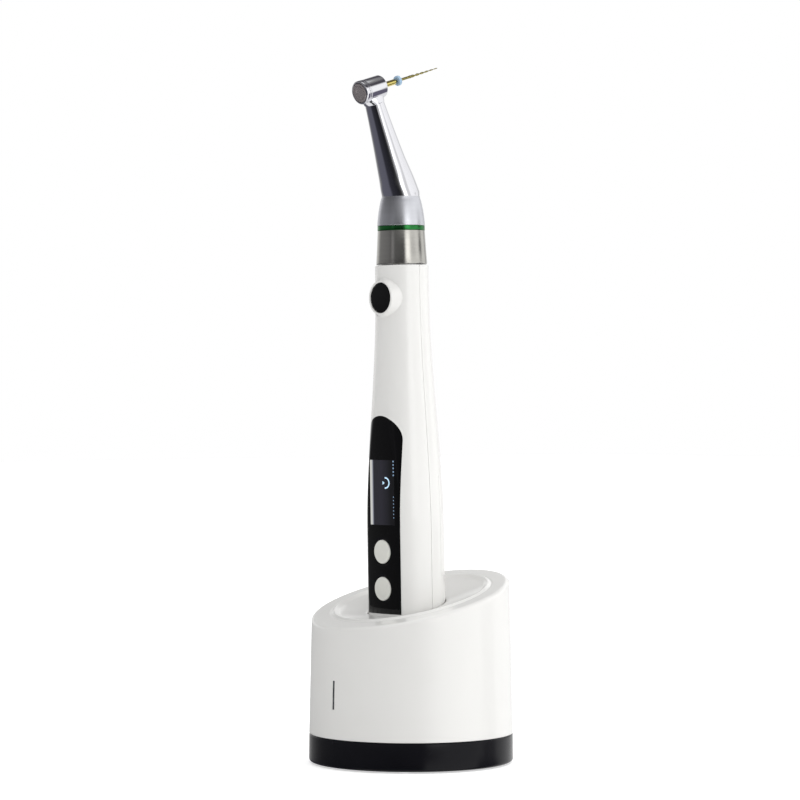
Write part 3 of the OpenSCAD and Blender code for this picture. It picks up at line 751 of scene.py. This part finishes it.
# Distance from the middle, first angle, radius and depth of the holes for the rubber feet and the screws.
FOOT_HOLES = (33, 0, 4.6, 1.5)
SCREW_HOLES = (36, 45, 2.7, 1.8)


def shell_r(z):
    return BASE_R - 0.1 - (BASE_R - 0.1 - RIM_R) * (z - RING_H) / (TOP_H - RING_H)


def on_top(q, phi, h=0.0):
    """World point of the sloping top's polar coordinates, h above its plane."""
    y = q * math.sin(phi)
    return Vector((
        q * math.cos(phi),
        y * math.cos(SLOPE) - h * math.sin(SLOPE),
        TOP_H + y * math.sin(SLOPE) + h * math.cos(SLOPE),
    ))


def top_profile(q):
    """Height of the top's relief over its plane: a dish with a soft lip round it."""
    dish = DISH_SPHERE - DISH_DEPTH - math.sqrt(DISH_SPHERE ** 2 - q * q) if q < LIP_R else 0.0
    side = (q - LIP_R) / (1.15 if q > LIP_R else 2.4)
    bead = 0.62 * 0.5 * (1 + math.cos(math.pi * side)) if abs(side) < 1 else 0.0
    groove = 0.16 * math.exp(-((q - LIP_R - 1.5) / 0.35) ** 2)
    return dish + bead - groove


def rim_corner(phi, inset, h):
    """Where the sloping plane, h over the top, meets the side."""
    low, high = 30.0, 50.0
    for _ in range(40):
        q = (low + high) / 2
        p = on_top(q, phi, h)
        if math.hypot(p.x, p.y) < shell_r(p.z) - inset:
            low = q
        else:
            high = q
    return on_top(low, phi, h)


def side_point(p, z, inset):
    """Point of the side wall under p, at height z."""
    k = (shell_r(z) - inset) / math.hypot(p.x, p.y)
    return Vector((p.x * k, p.y * k, z))


INTO_HANDLE = HANDLE.inverted()


def in_handle_frame(p):
    return (INTO_HANDLE @ (p * MM)) / MM


def socket_edge(phi):
    """Distance along the top at which it meets the socket's wall."""
    low, high = 8.0, 28.0
    for _ in range(40):
        q = (low + high) / 2
        p = in_handle_frame(on_top(q, phi, top_profile(q)))
        theta = math.atan2(p.x, -p.y)
        if math.hypot(p.x, p.y) < reach(theta, SOCKET_S) + SOCKET_GAP:
            low = q
        else:
            high = q
    return low


def charger_section(phi):
    """Closed outline of the charger shell in one direction, as world points."""
    corner = rim_corner(phi, 0, 0)
    down = (side_point(corner, corner.z - 1, 0) - corner).normalized()
    inward = -(on_top(1, phi) - on_top(0, phi)).normalized()
    round_rim = fillet(corner, down, inward, RIM_ROUND, 9)
    low_z = round_rim[0].z
    foot = side_point(corner, SHELL_LOW, 0)
    inner_foot = side_point(corner, SHELL_LOW, BASE_WALL)
    out = [foot + (inner_foot - foot).normalized() * 0.25]
    out += [side_point(corner, z, 0) for z in (SHELL_LOW + 0.07, SHELL_LOW + 0.25)]
    out[1] += (inner_foot - foot).normalized() * 0.07
    out += [side_point(corner, z, 0) for z in spread(SHELL_LOW + 1.2, low_z - 1.5, 12)]
    out += round_rim
    centre = on_top(0, phi)
    rim_q = (round_rim[-1] - centre).length
    edge_q = socket_edge(phi)
    stations = spread(rim_q, LIP_R + 2.6, 5)[1:] + spread(LIP_R + 2.6, LIP_R - 3, 26)[1:]
    stations += spread(LIP_R - 3, edge_q + 0.6, 12)[1:]
    out += [on_top(q, phi, top_profile(q)) for q in stations]
    out.append(on_top(edge_q + 0.25, phi, top_profile(edge_q) - 0.05))
    lip = in_handle_frame(on_top(edge_q, phi, top_profile(edge_q)))
    theta = math.atan2(lip.x, -lip.y)
    under = in_handle_frame(on_top(edge_q, phi, UNDER_TOP))
    r = reach(theta, SOCKET_S) + SOCKET_GAP
    for s in spread(lip.z - 0.2, under.z, 5):
        wall = Vector((r * math.sin(theta), -r * math.cos(theta), s))
        out.append((HANDLE @ (wall * MM)) / MM)
    inner = rim_corner(phi, BASE_WALL, UNDER_TOP)
    out.append(out[-1].lerp(inner, 0.5))
    out.append(inner)
    out += [side_point(inner, z, BASE_WALL) for z in (inner.z * 0.5 + SHELL_LOW * 0.5, SHELL_LOW)]
    return out


def make_charger():
    around = 240
    sections = [charger_section(2 * math.pi * k / around) for k in range(around)]
    verts = [p for section in sections for p in section]
    faces = wrapped_faces(around, len(sections[0]))
    shell = new_piece("charger_casing", verts, faces, WHITE, "charger",
                      stands_for=("charger_shell",), sharp=40)
    slit = box_tool((-SLIT_HALF, SLIT_HALF), (-BASE_R - 1, -BASE_R + 4), SLIT_Z)
    jack = box_tool((-JACK_HALF, JACK_HALF), (BASE_R - 5, BASE_R + 1), JACK_Z)
    cut(shell, slit, jack)

    ring = rounded([(0, 0.6), (BASE_R, 0.6), (BASE_R - 0.1, RING_H), (BASE_R - 2.4, RING_H),
                    (BASE_R - 2.4, 3.1), (0, 3.1)], [0, 1.3, 0.5, 0.3, 0.3, 0], 6)
    tray = lathe("foot_ring", ring, BLACK, "charger", WORLD, ("charger_tray",), 240)
    holes = []
    for k in range(4):
        for r, first, bore, depth in (FOOT_HOLES, SCREW_HOLES):
            turn = Matrix.Rotation(math.radians(first + k * 90), 4, "Z")
            holes.append(rod_tool(bore, -1, depth, turn @ Matrix.Translation(Vector((r * MM, 0, 0))), 64))
    cut(tray, *holes)


# ---- contra-angle --------------------------------------------------------------------------------------
BAND_LOW = 181.0
BAND_HIGH = 182.9
BEND_R = 7.9
NECK_TOP = 40.3
NECK_WALL = 1.15
HEEL = 1.15
HEEL_END = 15.6
SHOULDER = 0.22
PINCH = 0.22
HORN = 1.15
BEND_TILT = math.acos(NECK_AXIS.dot(HANDLE_AXIS))
HEAD_DISTANCE = (CROSS_POINT - BEND_POINT).length / MM
HEAD_LEAN = NECK_AXIS.dot(HEAD_AXIS)
HEAD_R = 4.8
BARREL = (2.95, 11.9)


def neck_radius(length):
    stations = [(0, BEND_R), (5, 7.3), (10, 6.75), (HEEL_END, 6.2), (21, 5.65), (27.5, 5.05), (34, 4.5),
                (41, 4.0), (60, 4)]
    for (l0, r0), (l1, r1) in zip(stations, stations[1:]):
        if length <= l1:
            return r0 + (r1 - r0) * (length - l0) / (l1 - l0)
    return stations[-1][1]


def neck_ring(length, around, inset=0.0):
    """Ring of neck points in the handle's frame, level at the bend and square to the neck further up.

    The back of the bend has a heel. Past a small shoulder the neck is pinched at the sides and drawn out
    above and below, so that it holds the head like a saddle without reaching past the barrel's end.
    """
    axis_y, axis_z = -math.sin(BEND_TILT), math.cos(BEND_TILT)
    tilt = BEND_TILT * ease(length / 10)
    out = []
    for k in range(around):
        a = 2 * math.pi * k / around
        r = neck_radius(length)
        heel = HEEL * min(1, length / 2.0) * max(0, 1 - length / HEEL_END) * max(0, math.sin(a)) ** 1.5
        saddle = max(0, length - NECK_TOP)
        step = SHOULDER * ease(saddle / 0.15)
        r += heel + step - inset
        x, v = r * math.cos(a), r * math.sin(a)
        x *= 1 - PINCH * ease(saddle / 5)
        if v > 0:
            v += HORN * ease(saddle / 2.6) * math.sin(a) ** 3
        else:
            v -= HORN * min(1, saddle / 1.75) * abs(math.sin(a)) ** 2.5
        if math.hypot(x, HEAD_DISTANCE + HEAD_LEAN * v - length) < HEAD_R - 0.2:
            v = max(v, BARREL[0] + 0.1 - HEAD_CROSS)
        out.append((x, axis_y * length + v * math.cos(tilt), BEND_S + axis_z * length + v * math.sin(tilt)))
    return out


def tube_of_rings(rings):
    """Closed skin over rings, joining the last one back to the first."""
    around = len(rings[0])
    verts = [p for ring in rings for p in ring]
    faces = []
    for i in range(len(rings)):
        a, b = i * around, (i + 1) % len(rings) * around
        for k in range(around):
            n = (k + 1) % around
            faces.append((a + k, a + n, b + n, b + k))
    return verts, faces


def make_contra_angle():
    sleeve = rounded([(8.35, 166.95), (10.6, 166.95), (10.22, 173), (9.8, BAND_LOW - 0.06),
                      (8.35, BAND_LOW - 0.06)], [0.1, 0.35, 20, 0.12, 0], 5)
    lathe("collar_sleeve", sleeve, COLLAR, "contra_angle", HANDLE, ("steel_sleeve",), 192)
    band = rounded([(8.4, BAND_LOW), (9.86, BAND_LOW), (9.86, BAND_HIGH), (8.4, BAND_HIGH)],
                   [0, 0.12, 0.12, 0])
    lathe("colour_band", band, GREEN, "contra_angle", HANDLE, ("green_band",), 192)
    around = 160
    level = [
        circle(r, s, around)
        for r, s in [(8.2, 179.5), (8.2, BAND_HIGH + 0.08), (9.78, BAND_HIGH + 0.08), (9.88, BAND_HIGH + 0.2),
                     (9.84, 184.4), (9.62, 186.6), (9.28, 189), (8.85, 191.4), (8.4, 193.4), (BEND_R, BEND_S)]
    ]
    lengths = [0.01, 0.5, 1.2, 2, 3, 4.2, 5.6, 7, 8.5, 10, 12, 14, 15.6, 18, 21, 24, 27.5, 31, 34, 37, 39.3]
    steps = (-0.15, 0, 0.08, 0.16, 0.35, 0.6, 0.85, 1.1, 1.4, 1.8, 2.3, 2.9, 3.6, 4.3, 5.1)
    lengths += [NECK_TOP + step for step in steps]
    outer = [neck_ring(l, around) for l in lengths]
    inner = [neck_ring(l, around, NECK_WALL) for l in (45.4, 41, 34, 27.5, 21, 15.6, 10, 5, 1)]
    core = [circle(5.2, s, around) for s in (192, 179.5)]
    verts, faces = tube_of_rings(level + outer + inner + core)
    neck = new_piece("neck_casing", verts, faces, POLISHED, "contra_angle", HANDLE,
                     ("neck_housing",), 22)
    neck.data.materials.append(SATIN)
    level_top = HANDLE @ Vector((0, 0, BEND_S * MM))
    for f in neck.data.polygons:
        if (Vector(f.center) - level_top).dot(HANDLE_AXIS) < 0:
            f.material_index = 1


# ---- head and file ---------------------------------------------------------------------------------------
NOSE_W = 12.9
SHANK_R = 1.175
SHANK_END = 20.1
STOP_W = (21.2, 22.8)
FLUTE_START = 29.1
FLUTE_LEN = 16.0
FLUTE_PITCH = 2.7
FLUTE_R = (0.64, 0.17)
FLUTE_DEPTH = 0.32
FLUTE_STEPS = 190
SHAFT_R = 0.55
STOP_R = 2.1
RING_R = 4.9
CAP_R = 3.86
WAIST_R = 0.85


def make_head():
    barrel = rounded([(3.9, BARREL[0]), (HEAD_R, BARREL[0]), (HEAD_R, BARREL[1] - 0.1), (3.5, NOSE_W),
                      (1.75, NOSE_W), (1.75, 11.7), (3.9, 11.3)], [0, 0.2, 0.8, 0.35, 0.15, 0, 0], 6)
    lathe("head_barrel", barrel, POLISHED, "contra_angle", HEAD, ("head_housing",), 160)
    ring = rounded([(4.14, 0.2), (RING_R, 0.2), (RING_R, 1.9), (4.78, 2.0), (RING_R, 2.1), (RING_R, 2.85),
                    (4.5, 2.85), (4.5, 1.3), (4.14, 1.2)], [0.12, 0.6, 0.08, 0, 0.08, 0.15, 0, 0, 0], 5)
    lathe("cap_ring", ring, POLISHED, "contra_angle", HEAD, ("head_cap_ring",), 160)
    button = rounded([(0, 0.12), (1.6, 0.12), (1.75, 0.0), (2.75, 0.0), (2.8, 0.12), (3.0, 0.12), (3.05, 0.0),
                      (CAP_R, 0.0), (CAP_R, 1.2), (4.25, 1.22), (4.25, 1.58), (0, 1.58)],
                     [0, 0.05, 0.1, 0, 0, 0, 0, 0.2, 0, 0, 0, 0])
    lathe("chuck_button", button, CAP, "push_button", HEAD, ("push_button",), 160, 25)


def make_file():
    shank = rounded([(0, 4), (SHANK_R, 4), (SHANK_R, 5.2), (WAIST_R, 5.3), (WAIST_R, 6.1), (SHANK_R, 6.2),
                     (SHANK_R, SHANK_END), (0.5, SHANK_END), (0, SHANK_END)],
                    [0, 0.15, 0.05, 0.05, 0.05, 0.05, 0.22, 0, 0], 4)
    lathe("gold_shank", shank, GOLD, "spindle", HEAD, ("file_shank",), 96)
    around = 20
    tip = FLUTE_START + FLUTE_LEN
    rings = [circle(0.02, SHANK_END - 0.05, around)]
    rings += [circle(SHAFT_R, w, around) for w in (SHANK_END - 0.04, *STOP_W, FLUTE_START - 0.6)]
    for i in range(FLUTE_STEPS + 1):
        t = i / FLUTE_STEPS
        w = FLUTE_START + FLUTE_LEN * t
        size = FLUTE_R[0] * (1 - t) + FLUTE_R[1] * t
        depth = FLUTE_DEPTH * ease(t * 14)
        turn = -2 * math.pi * (w - FLUTE_START) / (2 * FLUTE_PITCH)
        if t > 0.985:
            size *= max(0.05, (1 - t) / 0.015)
        ring = []
        for k in range(around):
            a = 2 * math.pi * k / around
            r = size * (1 - depth + depth * math.cos(2 * (a - turn)))
            ring.append((r * math.cos(a), r * math.sin(a), w))
        rings.append(ring)
    verts = [p for ring in rings for p in ring] + [(0, 0, tip + 0.02), (0, 0, SHANK_END - 0.05)]
    faces = []
    for here in range(0, around * (len(rings) - 1), around):
        for k in range(around):
            n = (k + 1) % around
            faces.append((here + k, here + n, here + around + n, here + around + k))
    last = (len(rings) - 1) * around
    faces += [(last + k, last + (k + 1) % around, len(verts) - 2) for k in range(around)]
    faces += [((k + 1) % around, k, len(verts) - 1) for k in range(around)]
    new_piece("file_flutes", verts, faces, FILE, "spindle", HEAD, ("file_blade",), 40)
    stop = rounded([(0.6, STOP_W[0]), (STOP_R, STOP_W[0]), (STOP_R, STOP_W[1]), (0.6, STOP_W[1])],
                   [0.1, 0.45, 0.45, 0.1], 6)
    lathe("file_stop", stop, SILICONE, "rubber_stop", HEAD, ("rubber_stop",), 96)


# ---- stage -------------------------------------------------------------------------------------------------
VIEW_AZIMUTH = math.radians(49)
CAMERA_DISTANCE = 1.236
EYE_HEIGHT = 0.1465
TO_CAMERA = Vector((math.sin(VIEW_AZIMUTH), -math.cos(VIEW_AZIMUTH), 0))
TO_RIGHT = Vector((math.cos(VIEW_AZIMUTH), math.sin(VIEW_AZIMUTH), 0))


def make_camera():
    data = bpy.data.cameras.new("camera")
    cam = bpy.data.objects.new("camera", data)
    bpy.context.scene.collection.objects.link(cam)
    data.sensor_width = 36
    data.lens = 133.5
    data.shift_y = 0.0125
    data.clip_end = 50
    cam.location = TO_CAMERA * CAMERA_DISTANCE - TO_RIGHT * 0.0046 + Vector((0, 0, EYE_HEIGHT))
    cam.rotation_euler = (math.pi / 2, 0, VIEW_AZIMUTH)
    bpy.context.scene.camera = cam


def node_maths(tree):
    """Short makers for the vector, maths and colour ramp nodes that the studio uses."""
    nodes, links = tree.nodes, tree.links

    def dot(vector, direction):
        n = nodes.new("ShaderNodeVectorMath")
        n.operation = "DOT_PRODUCT"
        n.inputs[1].default_value = direction
        links.new(vector, n.inputs[0])
        return n.outputs["Value"]

    def calc(operation, a, b):
        n = nodes.new("ShaderNodeMath")
        n.operation = operation
        for socket, value in zip(n.inputs, (a, b)):
            if isinstance(value, (int, float)):
                socket.default_value = value
            else:
                links.new(value, socket)
        return n.outputs["Value"]

    def ramp(value, low, high, stops):
        """Colour by value, with stops given in the value's own units."""
        n = nodes.new("ShaderNodeValToRGB")
        while len(n.color_ramp.elements) < len(stops):
            n.color_ramp.elements.new(0.5)
        for e, (place, level) in zip(n.color_ramp.elements, stops):
            e.position = (place - low) / (high - low)
            e.color = (*level, 1) if isinstance(level, tuple) else (level, level, level, 1)
        links.new(calc("DIVIDE", calc("SUBTRACT", value, low), high - low), n.inputs["Fac"])
        return n.outputs["Color"]

    def blend(factor, a, b):
        n = nodes.new("ShaderNodeMix")
        n.data_type = "RGBA"
        for socket, value in zip((n.inputs["Factor"], n.inputs["A"], n.inputs["B"]), (factor, a, b)):
            if isinstance(value, tuple):
                socket.default_value = value
            else:
                links.new(value, socket)
        return n.outputs["Result"]

    return dot, calc, ramp, blend


def bearing(calc, dot, vector):
    """Bearing of a direction from the camera's, in degrees, positive to the picture's right."""
    return calc("MULTIPLY", calc("ARCTAN2", dot(vector, TO_RIGHT), dot(vector, TO_CAMERA)), 180 / math.pi)


def make_world():
    """White room. Mirrors see studio cards by their bearing; matt surfaces see a soft gradient."""
    world = bpy.data.worlds.new("studio")
    bpy.context.scene.world = world
    world.use_nodes = True
    nodes, links = world.node_tree.nodes, world.node_tree.links
    nodes.clear()
    dot, calc, ramp, blend = node_maths(world.node_tree)
    vector = nodes.new("ShaderNodeTexCoord").outputs["Generated"]
    turn = bearing(calc, dot, vector)
    height = dot(vector, (0, 0, 1))
    cards = ramp(turn, -180, 180, [
        (-180, 0.9), (-140, 0.8), (-120, (0.32, 0.32, 0.33)), (-62, (0.24, 0.24, 0.25)),
        (-50, (0.17, 0.165, 0.175)), (-44, (0.42, 0.42, 0.43)), (-38, (0.30, 0.30, 0.32)),
        (-33, (0.17, 0.17, 0.175)), (6, (0.14, 0.14, 0.145)), (14, (0.17, 0.17, 0.18)), (23, 2.0),
        (36, 2.0), (46, 1.2), (84, 1.15), (132, 1.0), (141, 0.5), (150, 0.85), (180, 0.85)])
    veil = calc("MULTIPLY", ramp(turn, -180, 180, [(38, 0), (48, 1), (64, 1), (71, 0)]),
                ramp(height, -1, 1, [(0.09, 0), (0.12, 1), (0.19, 1), (0.23, 0)]))
    strip = ramp(turn, -180, 180, [(88, 0), (93, 1), (105, 1), (110, 0)])
    level = ramp(height, -1, 1, [(0.05, 0), (0.09, 1), (0.2, 1), (0.25, 0)])
    raised = ramp(turn, -180, 180, [
        (-180, 0.4), (-100, 0.12), (-40, 0.16), (-5, 0.45), (30, 1.1), (84, 1.15), (180, 1.0)])
    cards = blend(ramp(height, -1, 1, [(0.24, 0), (0.36, 1)]), cards, raised)
    cards = blend(veil, cards, (0.8, 0.8, 0.8, 1))
    cards = blend(calc("MULTIPLY", strip, level), cards, (0.25, 0.25, 0.25, 1))
    over = ramp(height, -1, 1, [
        (0.5, (0.05, 0.045, 0.06)), (0.82, (0.09, 0.085, 0.10)), (0.93, 0.3), (0.98, 1.0)])
    above = ramp(height, -1, 1, [(0.50, 0), (0.66, 1)])
    soft = ramp(turn, -180, 180, [
        (-180, 0.90), (-110, 0.70), (-60, 0.56), (-20, 0.70), (15, 1.0), (60, 1.26), (120, 1.24),
        (180, 0.95)])
    paths = nodes.new("ShaderNodeLightPath")
    light = blend(paths.outputs["Is Glossy Ray"], soft, blend(above, cards, over))
    light = blend(paths.outputs["Is Camera Ray"], light, (1, 1, 1, 1))
    background = nodes.new("ShaderNodeBackground")
    links.new(light, background.inputs["Color"])
    out = nodes.new("ShaderNodeOutputWorld")
    links.new(background.outputs["Background"], out.inputs["Surface"])


def floor_material():
    """Pale floor that melts into the room. Mirrors see darker studio cards lying on it."""
    mat = material("floor", (0.82, 0.82, 0.82), 0.7, tint=0.002, grain=3, bump=0.0)
    nodes, links = mat.node_tree.nodes, mat.node_tree.links
    dot, calc, ramp, blend = node_maths(mat.node_tree)
    paths = nodes.new("ShaderNodeLightPath")
    shader = setup(nodes["Principled BSDF"], Emission_Color=(1, 1, 1, 1))
    lift = calc("ADD", calc("MULTIPLY", paths.outputs["Is Camera Ray"], 0.40), 0.15)
    links.new(lift, shader.inputs["Emission Strength"])
    flip = nodes.new("ShaderNodeVectorMath")
    flip.operation = "SCALE"
    setup(flip, Scale=-1)
    links.new(nodes.new("ShaderNodeNewGeometry").outputs["Incoming"], flip.inputs[0])
    vector = flip.outputs["Vector"]
    height = dot(vector, (0, 0, 1))
    cards = ramp(bearing(calc, dot, vector), -180, 180, [
        (-180, (0.3, 0.3, 0.32)), (-165, (0.14, 0.14, 0.17)), (-60, (0.12, 0.12, 0.15)),
        (-45, (0.035, 0.035, 0.045)), (4, (0.015, 0.015, 0.018)), (12, (0.03, 0.03, 0.035)),
        (19, 1.3), (78, 1.3), (84, (0.14, 0.13, 0.18)), (114, (0.14, 0.13, 0.18)), (121, 0.9), (180, 0.9)])
    far_cards = ramp(bearing(calc, dot, vector), -180, 180, [
        (-180, 0.6), (-120, 0.2), (-50, 0.14), (-20, 0.05), (12, 0.06), (40, 1.1), (84, 1.1), (92, 0.45),
        (106, 0.45), (114, 1.0), (180, 0.9)])
    near = ramp(height, -1, 0, [(-0.20, 1), (-0.12, 0)])
    cards = blend(near, far_cards, cards)
    front = ramp(bearing(calc, dot, vector), -180, 180, [(-95, 0), (-75, 1), (25, 1), (45, 0)])
    steep = ramp(calc("SUBTRACT", height, calc("MULTIPLY", front, 0.2)), -1.2, 0, [(-0.9, 1), (-0.8, 0)])
    card = nodes.new("ShaderNodeEmission")
    links.new(blend(steep, cards, (1, 1, 1, 1)), card.inputs["Color"])
    swap = nodes.new("ShaderNodeMixShader")
    links.new(paths.outputs["Is Glossy Ray"], swap.inputs["Fac"])
    links.new(shader.outputs["BSDF"], swap.inputs[1])
    links.new(card.outputs["Emission"], swap.inputs[2])
    links.new(swap.outputs["Shader"], nodes["Material Output"].inputs["Surface"])
    return mat


def make_light(name, size, energy, location, target=(0, 0, 0.12)):
    data = bpy.data.lights.new(name, "AREA")
    data.shape = "RECTANGLE"
    data.size, data.size_y = size
    data.energy = energy
    light = bpy.data.objects.new(name, data)
    bpy.context.scene.collection.objects.link(light)
    light.location = location
    aim = Vector(target) - Vector(location)
    light.rotation_euler = aim.to_track_quat("-Z", "Y").to_euler()
    light.visible_glossy = False
    light.visible_camera = False


def make_stage():
    bpy.ops.mesh.primitive_plane_add(size=12, location=(0, 0, 0))
    floor = bpy.context.object
    floor.name = "floor"
    floor.data.materials.append(floor_material())
    right, near, up = TO_RIGHT, TO_CAMERA, Vector((0, 0, 1))
    make_light("key", (0.7, 1.0), 2.2, right * 0.9 + near * 0.35 + up * 0.75)
    make_light("top", (1.2, 1.2), 4.0, up * 1.5 - near * 0.2)
    bpy.context.scene.view_settings.view_transform = "Standard"
    bpy.context.scene.view_settings.look = "None"


dress_cad_nodes()
make_charger()
make_front_shell()
make_rear_shell()
make_door()
make_panel()
make_handle_foot()
make_bezel()
make_buttons()
make_display()
make_contra_angle()
make_head()
make_file()
make_camera()
make_world()
make_stage()
